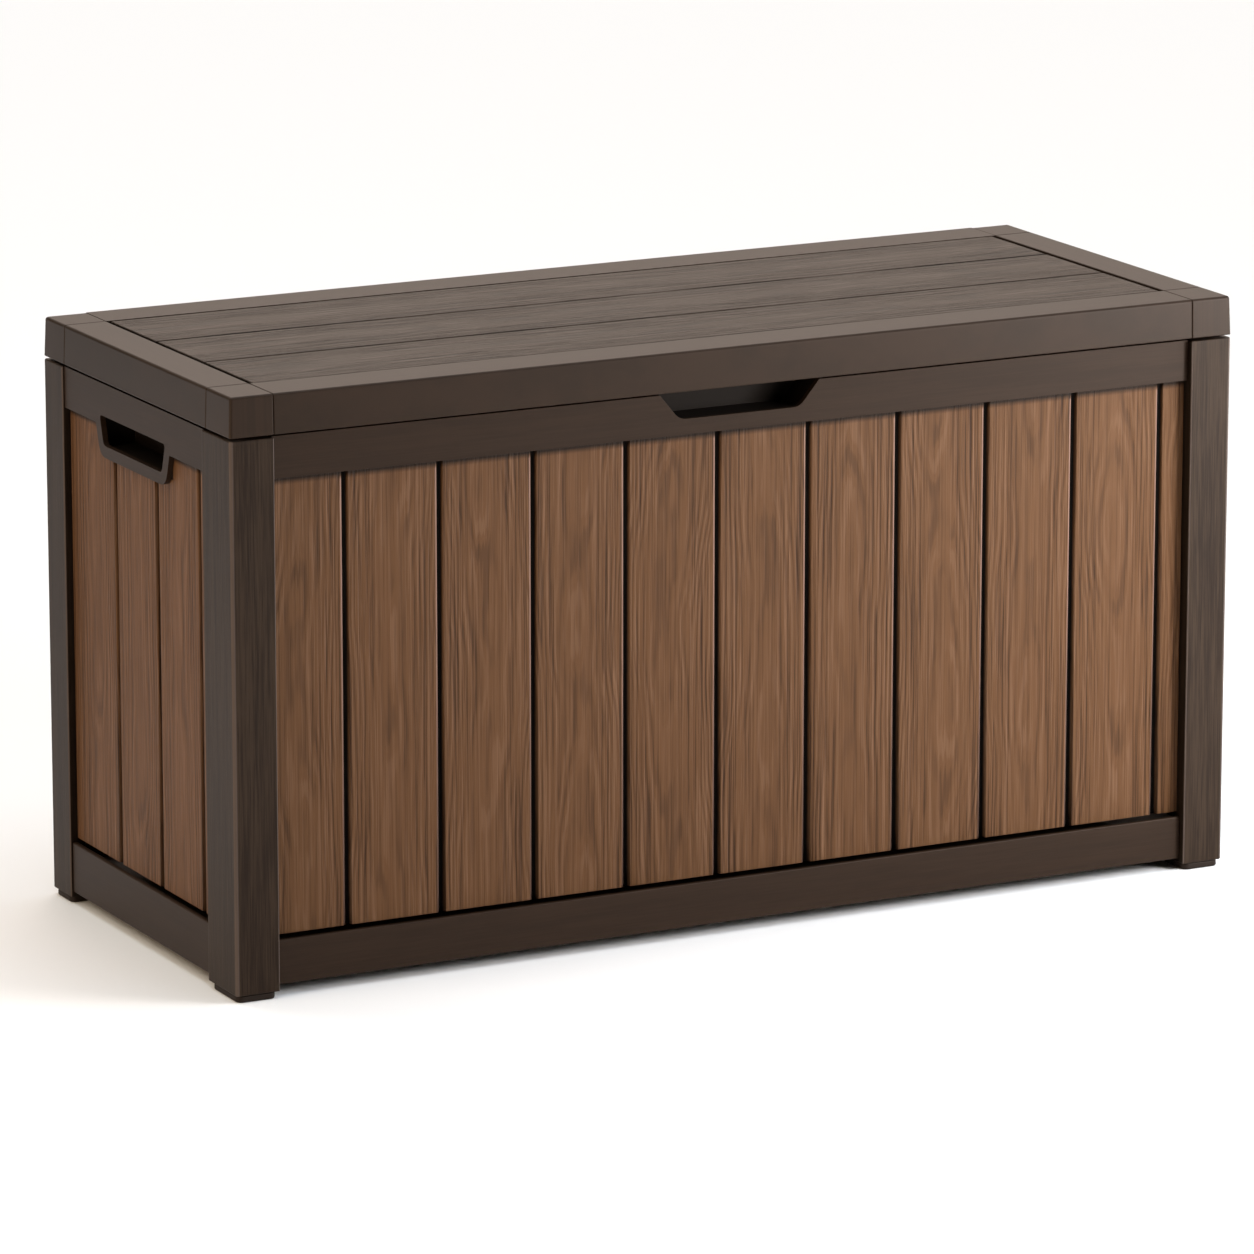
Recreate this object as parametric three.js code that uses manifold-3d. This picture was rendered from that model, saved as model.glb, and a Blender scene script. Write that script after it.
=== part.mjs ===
// Deck storage box: a resin chest with L-section corner posts, grooved plank panels held between
// channel rails, two hand cups, a finger pocket under the lid's front edge, and a framed lid on
// two butt hinges at the back. Millimetres, +Z up, front facing -Y, standing on z = 0.
import * as THREE from "three";
import { mergeVertices } from "three/addons/utils/BufferGeometryUtils.js";
import Module from "manifold-3d";

const wasm = await Module();
wasm.setup();

// Overall size over the posts and the lid.
const WIDTH = 1200;
const DEPTH = 488;
const HEIGHT = 645;
const GAP = 0.3; // clearance between two touching pieces

// Posts and feet.
const FOOT_HEIGHT = 8;
const POST_FACE = 50; // width of every post across the front or the back
const POST_SIDE_FRONT = 72; // width of the two front posts along the sides
const POST_SIDE_BACK = 50;
const POST_WALL = 3;
const POST_EDGE = 4; // radius of the outer upright edge
const FOOT_INSET = 2.5;
const FOOT_INNER_X = 3; // a foot stops this far short of its post's inner edge
const FOOT_INNER_Y = 4;
const FOOT_RADIUS = 7;
const PLUG_HEIGHT = 12;

// Walls. Each depth is measured inwards from the outer faces of the posts.
const LONG_WALL = { half: DEPTH / 2, railSet: 8, plankSet: 15, railBottom: 13, railTop: 61 };
const SIDE_WALL = { half: WIDTH / 2, railSet: 2.5, plankSet: 9, railBottom: 14, railTop: 70 };
const SKIN = 5.5; // thickness of a plank panel
const TONGUE_SET = 2; // the panel's lower edge is thinned by this much behind the bottom rail
const FLANGE = 4; // inner flanges of the channel rails
const RAIL_BASE = 4;
const TOP_RAIL_HEIGHT = 45;
const TOP_RAIL_CAP = 5;
const TOP_RAIL_INNER = 31; // height of the inner flange of a top rail
const SHADOW_GAP = 4.5; // dark gap between the bottom rail and the planks
const PLANK_PITCH = 109.3;
const FIRST_PLANK = 86; // visible width of the front panel's first plank
const SIDE_FIRST_PLANK = 28; // and of the side panels', counted from the front post
const LAST_PLANK = 20; // the last plank of a panel is at least this wide
const GROOVE_MOUTH = 7;
const GROOVE_FLOOR = 4.5;
const GROOVE_DEPTH = 4.5;
const RIB = 4; // thickness of a stiffening rib
const RIB_STEP = 2; // the long ribs end this much short of the cross ribs
const BACK_RIB_WIDTH = 12;

// Floor.
const FLOOR_LEDGE = 36; // top of the bottom rails' inner flanges
const FLOOR_SHEET = 3.5;
const FLOOR_RIB_BOTTOM = 18;
const FLOOR_RIBS_X = 6;
const FLOOR_RIBS_Y = 3;

// Finger notch in the front top rail and the pocket behind it.
const NOTCH = { centre: -4.5, topHalf: 95.5, bottomHalf: 72, drop: 28, radius: 8, pocketDepth: 52 };

// Handle openings in the side top rails and the hand cups behind them.
const HANDLE_FROM_BACK = 231; // centre of the opening, from the back of the box
const HANDLE = { topHalf: 86, bottomHalf: 76.5, top: 564, bottom: 532, radius: 6 };
const BEZEL = { topHalf: 97, bottomHalf: 86, bottom: 519, radius: 14 };
const HAND_CUP = { half: 88, top: 568, bottom: 529, depth: 48 };
const CUP_WALL = 3;

// Lid.
const LID_HEIGHT = 43;
const LID_GAP = 3; // between the posts and the lid's lower edge
const LID_DRAFT = 1.5; // the lid's sides lean in by this much at the top
const LID_SKIRT = 4;
const LID_PLATE = 5;
const LID_END = 50; // width of the end rails of the lid's frame
const LID_FRONT = 61;
const LID_BACK = 56;
const BOARD_COUNT = 3;
const BOARD_END_GAP = 3.5;
const BOARD_SIDE_GAP = 3;
const BOARD_DROP = 0.4; // the boards lie this much below the frame
const LINER_SHEET = 3;
const LINER_RIB = 20;
const LINER_RIBS_X = 7;
const LINER_RIBS_Y = 3;

// Hinges. The axis runs along X on the plane of the back faces.
const HINGE_X = 380;
const HINGE_WIDTH = 90;
const KNUCKLE = 30; // width of the middle knuckle
const KNUCKLE_RADIUS = 6.5;
const KNUCKLE_BORE = 2.8;
const KNUCKLE_CLEAR = 7.5; // radius kept clear round the knuckles
const PIN_RADIUS = 2.5;
const PIN_HEAD = { radius: 4, height: 1.5 };
const LEAF = 3.5; // thickness of a hinge leaf
const LEAF_HEIGHT = 31;
const SCREW = { spread: 30, head: 4, headHeight: 1.6, shank: 1.8, hole: 2.1, rise: 22 };
const ROUND = 16; // sides of a round section

const POST_TOP = HEIGHT - LID_HEIGHT - LID_GAP;
const LID_BOTTOM = HEIGHT - LID_HEIGHT;
const HINGE_Y = DEPTH / 2;
const HINGE_Z = (POST_TOP + LID_BOTTOM) / 2;

const darkResin = { color: 0x4a3f36, roughness: 0.55, metalness: 0 };
const plankResin = { color: 0x7a5a40, roughness: 0.6, metalness: 0 };
const footResin = { color: 0x3c332c, roughness: 0.7, metalness: 0 };
const steel = { color: 0x8c8c8a, roughness: 0.35, metalness: 1 };

// --- geometry helpers ---------------------------------------------------------------------------

function solidOf(geometry) {
  const bare = geometry.index ? geometry.toNonIndexed() : geometry.clone();
  bare.deleteAttribute("normal");
  bare.deleteAttribute("uv");
  const merged = mergeVertices(bare, 1e-4);
  return new wasm.Manifold(
    new wasm.Mesh({
      numProp: 3,
      vertProperties: merged.attributes.position.array,
      triVerts: new Uint32Array(merged.index.array),
    }),
  );
}

function geometryOf(solid) {
  const mesh = solid.getMesh();
  const geometry = new THREE.BufferGeometry();
  geometry.setAttribute("position", new THREE.BufferAttribute(mesh.vertProperties, 3));
  geometry.setIndex(new THREE.BufferAttribute(mesh.triVerts, 1));
  geometry.computeVertexNormals();
  return geometry;
}

function block(x0, x1, y0, y1, z0, z1) {
  const box = new THREE.BoxGeometry(x1 - x0, y1 - y0, z1 - z0);
  return solidOf(box.translate((x0 + x1) / 2, (y0 + y1) / 2, (z0 + z1) / 2));
}

// A closed outline of [u, v, radius] corners; a corner without a radius stays sharp.
function outline(corners) {
  const shape = new THREE.Shape();
  corners.forEach(([u, v, radius = 0], i) => {
    const here = new THREE.Vector2(u, v);
    const last = corners[(i + corners.length - 1) % corners.length];
    const next = corners[(i + 1) % corners.length];
    const back = new THREE.Vector2(last[0], last[1]).sub(here).setLength(radius).add(here);
    const ahead = new THREE.Vector2(next[0], next[1]).sub(here).setLength(radius).add(here);
    if (i === 0) shape.moveTo(back.x, back.y);
    else shape.lineTo(back.x, back.y);
    if (radius > 0) shape.quadraticCurveTo(u, v, ahead.x, ahead.y);
  });
  return shape;
}

// Extrudes an outline along one axis, from one coordinate to another. The outline is given as
// (x, y) for axis z, (x, z) for axis y and (y, z) for axis x.
function prism(corners, axis, from, to) {
  const depth = to - from;
  const body = new THREE.ExtrudeGeometry(outline(corners), {
    depth,
    bevelEnabled: false,
    curveSegments: 5,
  });
  const turn = new THREE.Matrix4();
  if (axis === "y") {
    turn.makeRotationX(Math.PI / 2);
    return solidOf(body.translate(0, 0, -to).applyMatrix4(turn));
  }
  if (axis === "x") {
    const [x, y, z] = [0, 1, 2].map((k) => new THREE.Vector3().setComponent(k, 1));
    turn.makeBasis(y, z, x);
  }
  return solidOf(body.translate(0, 0, from).applyMatrix4(turn));
}

// A cylinder along X or Y between two coordinates.
function rod(radius, axis, from, to, a, b) {
  const body = new THREE.CylinderGeometry(radius, radius, to - from, ROUND);
  if (axis === "x") {
    body.rotateZ(Math.PI / 2);
    return solidOf(body.translate((from + to) / 2, a, b));
  }
  return solidOf(body.translate(a, (from + to) / 2, b));
}

const root = new THREE.Group();

// The assembly is centred on its own box, which the hinge knuckles make a little deeper.
root.position.y = -KNUCKLE_RADIUS / 2;

function place(name, solid, look, parent = root) {
  const mesh = new THREE.Mesh(geometryOf(solid), new THREE.MeshStandardMaterial(look));
  mesh.name = name;
  parent.add(mesh);
}

function at(count, low, high) {
  return Array.from({ length: count }, (_, i) => low + ((i + 0.5) / count) * (high - low));
}

// --- posts and feet -----------------------------------------------------------------------------

const inner = (wall) => wall.plankSet + SKIN + GAP + FLANGE;

// The post at corner (sx, sy): an L-section tube, closed at the top, with a plug-in foot.
function buildPost(name, sx, sy) {
  const side = sy < 0 ? POST_SIDE_FRONT : POST_SIDE_BACK;
  const armLong = inner(LONG_WALL);
  const armSide = inner(SIDE_WALL);
  const corner = ([a, b, radius]) => [sx * (WIDTH / 2 - a), sy * (DEPTH / 2 - b), radius];
  const section = (inset) => [
    [inset, inset, POST_EDGE - inset > 0 ? POST_EDGE - inset : 0],
    [POST_FACE - inset, inset],
    [POST_FACE - inset, armLong - inset],
    [armSide - inset, armLong - inset],
    [armSide - inset, side - inset],
    [inset, side - inset],
  ];
  const shell = prism(section(0).map(corner), "z", FOOT_HEIGHT, POST_TOP);
  const core = section(POST_WALL).map(corner);
  const hollow = prism(core, "z", FOOT_HEIGHT - 1, POST_TOP - POST_WALL);
  place(`post_${name}`, shell.subtract(hollow), darkResin);

  const pad = [
    [FOOT_INSET, FOOT_INSET, FOOT_RADIUS],
    [POST_FACE - FOOT_INNER_X, FOOT_INSET, FOOT_RADIUS],
    [POST_FACE - FOOT_INNER_X, side - FOOT_INNER_Y, FOOT_RADIUS],
    [FOOT_INSET, side - FOOT_INNER_Y, FOOT_RADIUS],
  ];
  const plugInset = POST_WALL + GAP;
  const plug = [
    [plugInset, plugInset],
    [POST_FACE - FOOT_INNER_X - POST_WALL, plugInset],
    [POST_FACE - FOOT_INNER_X - POST_WALL, armLong - plugInset],
    [plugInset, armLong - plugInset],
  ];
  const padTop = FOOT_HEIGHT - GAP;
  const foot = prism(pad.map(corner), "z", 0, padTop);
  const peg = prism(plug.map(corner), "z", padTop - 1, padTop + PLUG_HEIGHT);
  place(`foot_${name}`, foot.add(peg), footResin);
}

buildPost("front_left", -1, -1);
buildPost("front_right", 1, -1);
buildPost("back_left", -1, 1);
buildPost("back_right", 1, 1);

// --- walls --------------------------------------------------------------------------------------

// A wall is built facing -Y, with u along X and its depth counted from y = -half, and its group
// is then turned about Z to its side of the box.
function topRailSolid(wall, u0, u1) {
  const y = (depth) => -wall.half + depth;
  const back = wall.plankSet - GAP;
  const flange = wall.plankSet + SKIN + GAP;
  const low = POST_TOP - TOP_RAIL_HEIGHT;
  const cap = POST_TOP - TOP_RAIL_CAP;
  const lip = POST_TOP - TOP_RAIL_INNER;
  const section = [
    [y(wall.railSet), low],
    [y(back), low],
    [y(back), cap],
    [y(flange), cap],
    [y(flange), lip],
    [y(flange + FLANGE), lip],
    [y(flange + FLANGE), POST_TOP],
    [y(wall.railSet), POST_TOP],
  ];
  return prism(section, "x", u0 + GAP, u1 - GAP);
}

function bottomRailSolid(wall, u0, u1) {
  const y = (depth) => -wall.half + depth;
  const back = wall.plankSet - GAP;
  const flange = wall.plankSet + SKIN + GAP;
  const base = wall.railBottom + RAIL_BASE;
  const section = [
    [y(wall.railSet), wall.railBottom],
    [y(flange + FLANGE), wall.railBottom],
    [y(flange + FLANGE), FLOOR_LEDGE],
    [y(flange), FLOOR_LEDGE],
    [y(flange), base],
    [y(back), base],
    [y(back), wall.railTop],
    [y(wall.railSet), wall.railTop],
  ];
  return prism(section, "x", u0 + GAP, u1 - GAP);
}

// The plank panel: one skin with upright grooves at the given places and a rib behind each.
function panelSolid(wall, u0, u1, grooves) {
  const y = (depth) => -wall.half + depth;
  const face = y(wall.plankSet);
  const back = y(wall.plankSet + SKIN);
  const front = [[u0 + GAP, face]];
  grooves.forEach((u) => {
    front.push([u - GROOVE_MOUTH / 2, face]);
    front.push([u - GROOVE_FLOOR / 2, face + GROOVE_DEPTH]);
    front.push([u + GROOVE_FLOOR / 2, face + GROOVE_DEPTH]);
    front.push([u + GROOVE_MOUTH / 2, face]);
  });
  front.push([u1 - GAP, face], [u1 - GAP, back], [u0 + GAP, back]);
  const bottom = wall.railBottom + RAIL_BASE + GAP;
  const top = POST_TOP - TOP_RAIL_CAP - GAP;
  let panel = prism(front, "z", bottom, top);
  const thinned = face + TONGUE_SET;
  panel = panel.subtract(block(u0, u1, face - 1, thinned, bottom - 1, wall.railTop + SHADOW_GAP));
  const ribLow = FLOOR_LEDGE + GAP + FLOOR_SHEET + 2;
  const ribTop = POST_TOP - TOP_RAIL_INNER - 1;
  grooves.forEach((u) => {
    const half = BACK_RIB_WIDTH / 2;
    if (u - half < u0 + 2 || u + half > u1 - 2) return;
    panel = panel.add(block(u - half, u + half, back - 1, back + FLANGE, ribLow, ribTop));
  });
  return panel;
}

function wallGroup(turn) {
  const group = new THREE.Group();
  group.rotation.z = turn;
  root.add(group);
  return group;
}

// The places of a panel's grooves, from its first groove to the post at its other end.
function groovePlaces(first, end) {
  const count = 1 + Math.floor((end - LAST_PLANK - first) / PLANK_PITCH);
  return Array.from({ length: count }, (_, i) => first + i * PLANK_PITCH);
}

// A cup: the outline grown by the cup's wall, hollowed from its mouth and left closed behind.
function cupSolid(hole, grown, from, to) {
  return prism(grown, "y", from, to).subtract(prism(hole, "y", from - 1, to - CUP_WALL));
}

function buildFront() {
  const wall = LONG_WALL;
  const group = wallGroup(0);
  const u1 = WIDTH / 2 - POST_FACE;
  const u0 = -u1;
  const y = (depth) => -wall.half + depth;
  const { centre, topHalf, bottomHalf, drop, radius, pocketDepth } = NOTCH;
  const low = POST_TOP - drop;
  const slope = (topHalf - bottomHalf) / drop;
  // The notch's outline, grown sideways and downwards, reaching up to a given height.
  const notch = (grow, height) => {
    const topWide = topHalf + grow * Math.hypot(1, slope) + slope * (height - POST_TOP);
    const lowWide = topWide - slope * (height - low + grow);
    return [
      [centre - topWide, height],
      [centre - lowWide, low - grow, radius],
      [centre + lowWide, low - grow, radius],
      [centre + topWide, height],
    ];
  };
  const mouth = y(wall.plankSet);
  const pocketBack = y(pocketDepth);
  const envelope = prism(notch(CUP_WALL + GAP, POST_TOP + 1), "y", mouth - GAP, pocketBack + GAP);
  const through = prism(notch(0, POST_TOP + 1), "y", y(0), mouth + 1);
  const rail = topRailSolid(wall, u0, u1).subtract(through).subtract(envelope);
  const grooves = groovePlaces(u0 + FIRST_PLANK, u1);
  place("top_rail_front", rail, darkResin, group);
  place("bottom_rail_front", bottomRailSolid(wall, u0, u1), darkResin, group);
  place("panel_front", panelSolid(wall, u0, u1, grooves).subtract(envelope), plankResin, group);
  const grown = notch(CUP_WALL, POST_TOP - GAP);
  place("finger_cup", cupSolid(notch(0, POST_TOP + 1), grown, mouth, pocketBack), darkResin, group);
}

function buildBack() {
  const wall = LONG_WALL;
  const group = wallGroup(Math.PI);
  const u1 = WIDTH / 2 - POST_FACE;
  const u0 = -u1;
  let rail = topRailSolid(wall, u0, u1);
  for (const side of [-1, 1]) {
    for (const hole of [-1, 1]) {
      const u = side * HINGE_X + hole * SCREW.spread;
      const bore = rod(SCREW.hole, "y", -wall.half, -wall.half + wall.plankSet, u, HINGE_Z - SCREW.rise);
      rail = rail.subtract(bore);
    }
  }
  place("top_rail_back", rail, darkResin, group);
  place("bottom_rail_back", bottomRailSolid(wall, u0, u1), darkResin, group);
  const grooves = groovePlaces(u0 + FIRST_PLANK, u1);
  place("panel_back", panelSolid(wall, u0, u1, grooves), plankResin, group);
}

// A side wall. Turned a quarter, its u axis points to the back on the right-hand side (facing = 1)
// and to the front on the left-hand side (facing = -1).
function buildSide(name, facing) {
  const wall = SIDE_WALL;
  const group = wallGroup((facing * Math.PI) / 2);
  const toWall = (worldY) => facing * worldY;
  const frontEnd = -DEPTH / 2 + POST_SIDE_FRONT;
  const backEnd = DEPTH / 2 - POST_SIDE_BACK;
  const [u0, u1] = [toWall(frontEnd), toWall(backEnd)].sort((a, b) => a - b);
  const y = (depth) => -wall.half + depth;
  const centre = toWall(DEPTH / 2 - HANDLE_FROM_BACK);
  const opening = [
    [centre - HANDLE.topHalf, HANDLE.top, HANDLE.radius],
    [centre - HANDLE.bottomHalf, HANDLE.bottom, HANDLE.radius],
    [centre + HANDLE.bottomHalf, HANDLE.bottom, HANDLE.radius],
    [centre + HANDLE.topHalf, HANDLE.top, HANDLE.radius],
  ];
  const railLow = POST_TOP - TOP_RAIL_HEIGHT;
  const bezel = [
    [centre - BEZEL.topHalf, railLow + 1],
    [centre - BEZEL.bottomHalf, BEZEL.bottom, BEZEL.radius],
    [centre + BEZEL.bottomHalf, BEZEL.bottom, BEZEL.radius],
    [centre + BEZEL.topHalf, railLow + 1],
  ];
  const cup = (grow) => [
    [centre - HAND_CUP.half - grow, HAND_CUP.bottom - grow],
    [centre + HAND_CUP.half + grow, HAND_CUP.bottom - grow],
    [centre + HAND_CUP.half + grow, HAND_CUP.top + grow],
    [centre - HAND_CUP.half - grow, HAND_CUP.top + grow],
  ];
  const mouth = y(wall.plankSet);
  const cupBack = y(HAND_CUP.depth);
  const envelope = prism(cup(CUP_WALL + GAP), "y", mouth - GAP, cupBack + GAP);
  const rail = topRailSolid(wall, u0, u1)
    .add(prism(bezel, "y", y(wall.railSet), mouth - GAP))
    .subtract(prism(opening, "y", y(0), mouth + 1))
    .subtract(envelope);
  const grooves = groovePlaces(frontEnd + SIDE_FIRST_PLANK, backEnd)
    .map(toWall)
    .sort((a, b) => a - b);
  place(`top_rail_${name}`, rail, darkResin, group);
  place(`bottom_rail_${name}`, bottomRailSolid(wall, u0, u1), darkResin, group);
  place(`panel_${name}`, panelSolid(wall, u0, u1, grooves).subtract(envelope), plankResin, group);
  place(`hand_cup_${name}`, cupSolid(cup(0), cup(CUP_WALL), mouth, cupBack), darkResin, group);
}

buildFront();
buildBack();
buildSide("left", -1);
buildSide("right", 1);

// --- floor --------------------------------------------------------------------------------------

// The floor sheet lies on the bottom rails' inner flanges and is notched round the posts.
function buildFloor() {
  const low = FLOOR_LEDGE + GAP;
  const edgeX = WIDTH / 2 - (SIDE_WALL.plankSet + SKIN + GAP);
  const edgeY = DEPTH / 2 - (LONG_WALL.plankSet + SKIN + GAP);
  let floor = block(-edgeX, edgeX, -edgeY, edgeY, low, low + FLOOR_SHEET);
  const ribX = WIDTH / 2 - inner(SIDE_WALL) - 1;
  const ribY = DEPTH / 2 - inner(LONG_WALL) - 1;
  at(FLOOR_RIBS_X, -WIDTH / 2, WIDTH / 2).forEach((x) => {
    floor = floor.add(block(x - RIB / 2, x + RIB / 2, -ribY, ribY, FLOOR_RIB_BOTTOM, low + 1));
  });
  at(FLOOR_RIBS_Y, -ribY, ribY).forEach((y) => {
    floor = floor.add(block(-ribX, ribX, y - RIB / 2, y + RIB / 2, FLOOR_RIB_BOTTOM + RIB_STEP, low + 1));
  });
  const top = low + FLOOR_SHEET + 1;
  for (const sx of [-1, 1]) {
    for (const sy of [-1, 1]) {
      const side = (sy < 0 ? POST_SIDE_FRONT : POST_SIDE_BACK) + GAP;
      const notch = (reachX, reachY) => {
        const [x0, x1] = [sx * (WIDTH / 2), sx * (WIDTH / 2 - reachX)].sort((a, b) => a - b);
        const [y0, y1] = [sy * (DEPTH / 2), sy * (DEPTH / 2 - reachY)].sort((a, b) => a - b);
        return block(x0, x1, y0, y1, 0, top);
      };
      floor = floor.subtract(notch(POST_FACE + GAP, inner(LONG_WALL) + GAP));
      floor = floor.subtract(notch(inner(SIDE_WALL) + GAP, side));
    }
  }
  place("floor_panel", floor, darkResin);
}

buildFloor();

// --- lid ----------------------------------------------------------------------------------------

// The whole frame of the lid is one drafted shell, open below, which the frame's joints divide.
function lidShell() {
  const outer = new THREE.BoxGeometry(WIDTH, DEPTH, LID_HEIGHT);
  const points = outer.attributes.position;
  for (let i = 0; i < points.count; i += 1) {
    if (points.getZ(i) < 0) continue;
    points.setX(i, points.getX(i) - Math.sign(points.getX(i)) * LID_DRAFT);
    points.setY(i, points.getY(i) - Math.sign(points.getY(i)) * LID_DRAFT);
  }
  outer.translate(0, 0, (LID_BOTTOM + HEIGHT) / 2);
  const innerX = WIDTH / 2 - LID_SKIRT - LID_DRAFT;
  const innerY = DEPTH / 2 - LID_SKIRT - LID_DRAFT;
  const under = HEIGHT - LID_PLATE;
  const inside = block(-innerX, innerX, -innerY, innerY, LID_BOTTOM - 1, under);
  return solidOf(outer).subtract(inside);
}

function buildLidFrame() {
  const shell = lidShell();
  const endX = WIDTH / 2 - LID_END;
  const frontY = -DEPTH / 2 + LID_FRONT;
  const backY = DEPTH / 2 - LID_BACK;
  const z0 = LID_BOTTOM - 1;
  const z1 = HEIGHT + 1;
  const clear = [-1, 1].map((side) => {
    const reach = HINGE_WIDTH / 2 + PIN_HEAD.height + 1;
    const x = side * HINGE_X;
    return rod(KNUCKLE_CLEAR, "x", x - reach, x + reach, HINGE_Y, HINGE_Z);
  });
  let rail = shell.intersect(block(-endX, endX, backY, DEPTH / 2, z0, z1));
  clear.forEach((sweep) => {
    rail = rail.subtract(sweep);
  });
  for (const side of [-1, 1]) {
    for (const hole of [-1, 1]) {
      const x = side * HINGE_X + hole * SCREW.spread;
      const bore = rod(SCREW.hole, "y", DEPTH / 2 - 10, DEPTH / 2 + 1, x, HINGE_Z + SCREW.rise);
      rail = rail.subtract(bore);
    }
  }
  place("lid_rail_back", rail, darkResin);
  const front = block(-endX, endX, -DEPTH / 2, frontY, z0, z1);
  place("lid_rail_front", shell.intersect(front), darkResin);
  for (const [name, sx] of [["left", -1], ["right", 1]]) {
    const near = sx * (endX + GAP);
    const far = (sx * WIDTH) / 2;
    const [x0, x1] = [near, far].sort((a, b) => a - b);
    const end = block(x0, x1, frontY + GAP, backY - GAP, z0, z1);
    place(`lid_rail_${name}`, shell.intersect(end), darkResin);
    const frontCorner = block(x0, x1, -DEPTH / 2, frontY, z0, z1);
    place(`lid_corner_front_${name}`, shell.intersect(frontCorner), darkResin);
    const backCorner = block(x0, x1, backY, DEPTH / 2, z0, z1);
    place(`lid_corner_back_${name}`, shell.intersect(backCorner), darkResin);
  }
}

function buildBoards() {
  const low = -DEPTH / 2 + LID_FRONT;
  const high = DEPTH / 2 - LID_BACK;
  const width = (high - low) / BOARD_COUNT;
  const end = WIDTH / 2 - LID_END - BOARD_END_GAP;
  const half = width / 2 - BOARD_SIDE_GAP / 2;
  const names = ["front", "middle", "back"];
  at(BOARD_COUNT, low, high).forEach((y, i) => {
    const board = block(-end, end, y - half, y + half, HEIGHT - LID_PLATE, HEIGHT - BOARD_DROP);
    place(`lid_board_${names[i]}`, board, darkResin);
  });
}

// The liner lies under the boards and the frame, inside the skirts, with ribs on its underside.
function buildLiner() {
  const halfX = WIDTH / 2 - LID_SKIRT - LID_DRAFT - GAP;
  const halfY = DEPTH / 2 - LID_SKIRT - LID_DRAFT - GAP;
  const top = HEIGHT - LID_PLATE - GAP;
  const under = top - LINER_SHEET;
  let liner = block(-halfX, halfX, -halfY, halfY, under, top);
  const ribX = halfX - 10;
  const ribY = halfY - 10;
  at(LINER_RIBS_X, -ribX, ribX).forEach((x) => {
    liner = liner.add(block(x - RIB / 2, x + RIB / 2, -ribY, ribY, under - LINER_RIB, under + 1));
  });
  at(LINER_RIBS_Y, -ribY, ribY).forEach((y) => {
    const low = under - LINER_RIB + RIB_STEP;
    liner = liner.add(block(-ribX, ribX, y - RIB / 2, y + RIB / 2, low, under + 1));
  });
  place("lid_liner", liner, darkResin);
}

buildLidFrame();
buildBoards();
buildLiner();

// --- hinges -------------------------------------------------------------------------------------

function knuckle(x0, x1) {
  const barrel = rod(KNUCKLE_RADIUS, "x", x0, x1, HINGE_Y, HINGE_Z);
  return barrel.subtract(rod(KNUCKLE_BORE, "x", x0 - 1, x1 + 1, HINGE_Y, HINGE_Z));
}

function screw(x, z, seat, depth) {
  const head = rod(SCREW.head, "y", seat + GAP, seat + GAP + SCREW.headHeight, x, z);
  return head.add(rod(SCREW.shank, "y", seat - depth, seat + GAP + 1, x, z));
}

function buildHinge(name, x) {
  const edge = HINGE_WIDTH / 2;
  const middle = KNUCKLE / 2;
  const bore = (z) => (hole) =>
    rod(SCREW.hole, "y", HINGE_Y - 20, HINGE_Y + 20, x + hole * SCREW.spread, z);

  // The base sits on the back rail and carries the two outer knuckles.
  const baseY = DEPTH / 2 - LONG_WALL.railSet + GAP;
  const baseSeat = baseY + LEAF;
  const baseZ = HINGE_Z - SCREW.rise;
  let base = block(x - edge, x + edge, baseY, baseSeat, HINGE_Z - KNUCKLE_CLEAR - LEAF_HEIGHT, HINGE_Z);
  base = base.add(knuckle(x - edge, x - middle - GAP)).add(knuckle(x + middle + GAP, x + edge));
  base = base.subtract(rod(PIN_RADIUS + GAP, "x", x - edge - 1, x + edge + 1, HINGE_Y, HINGE_Z));
  const between = [x - middle - GAP, x + middle + GAP];
  base = base.subtract(rod(KNUCKLE_CLEAR, "x", ...between, HINGE_Y, HINGE_Z));
  [-1, 1].map(bore(baseZ)).forEach((hole) => {
    base = base.subtract(hole);
  });
  place(`hinge_base_${name}`, base, darkResin);

  // The leaf sits on the lid's back skirt, follows its draft and carries the middle knuckle.
  const lean = LID_DRAFT * ((KNUCKLE_CLEAR + LEAF_HEIGHT) / LID_HEIGHT);
  const leafY = HINGE_Y + GAP;
  const leafTop = HINGE_Z + KNUCKLE_CLEAR + LEAF_HEIGHT;
  const section = (low) => [
    [leafY, low],
    [leafY + LEAF, low],
    [leafY + LEAF - lean, leafTop],
    [leafY - lean, leafTop],
  ];
  let leaf = prism(section(HINGE_Z + KNUCKLE_CLEAR), "x", x - edge, x + edge);
  leaf = leaf.add(prism(section(HINGE_Z + PIN_RADIUS + 1), "x", x - middle, x + middle));
  leaf = leaf.add(knuckle(x - middle, x + middle));
  const leafZ = HINGE_Z + SCREW.rise;
  [-1, 1].map(bore(leafZ)).forEach((hole) => {
    leaf = leaf.subtract(hole);
  });
  place(`hinge_leaf_${name}`, leaf, darkResin);

  const end = edge + GAP;
  const pin = rod(PIN_RADIUS, "x", x - end - 1, x + end + 1, HINGE_Y, HINGE_Z)
    .add(rod(PIN_HEAD.radius, "x", x - end - PIN_HEAD.height, x - end, HINGE_Y, HINGE_Z))
    .add(rod(PIN_HEAD.radius, "x", x + end, x + end + PIN_HEAD.height, HINGE_Y, HINGE_Z));
  place(`hinge_pin_${name}`, pin, steel);

  const holds = [["inner", -Math.sign(x)], ["outer", Math.sign(x)]];
  for (const [side, direction] of holds) {
    const screwX = x + direction * SCREW.spread;
    place(`base_screw_${name}_${side}`, screw(screwX, baseZ, baseSeat, LEAF + GAP + 6), steel);
    place(`leaf_screw_${name}_${side}`, screw(screwX, leafZ, leafY + LEAF, LEAF + GAP + 6), steel);
  }
}

buildHinge("left", -HINGE_X);
buildHinge("right", HINGE_X);

export default root;
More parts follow.
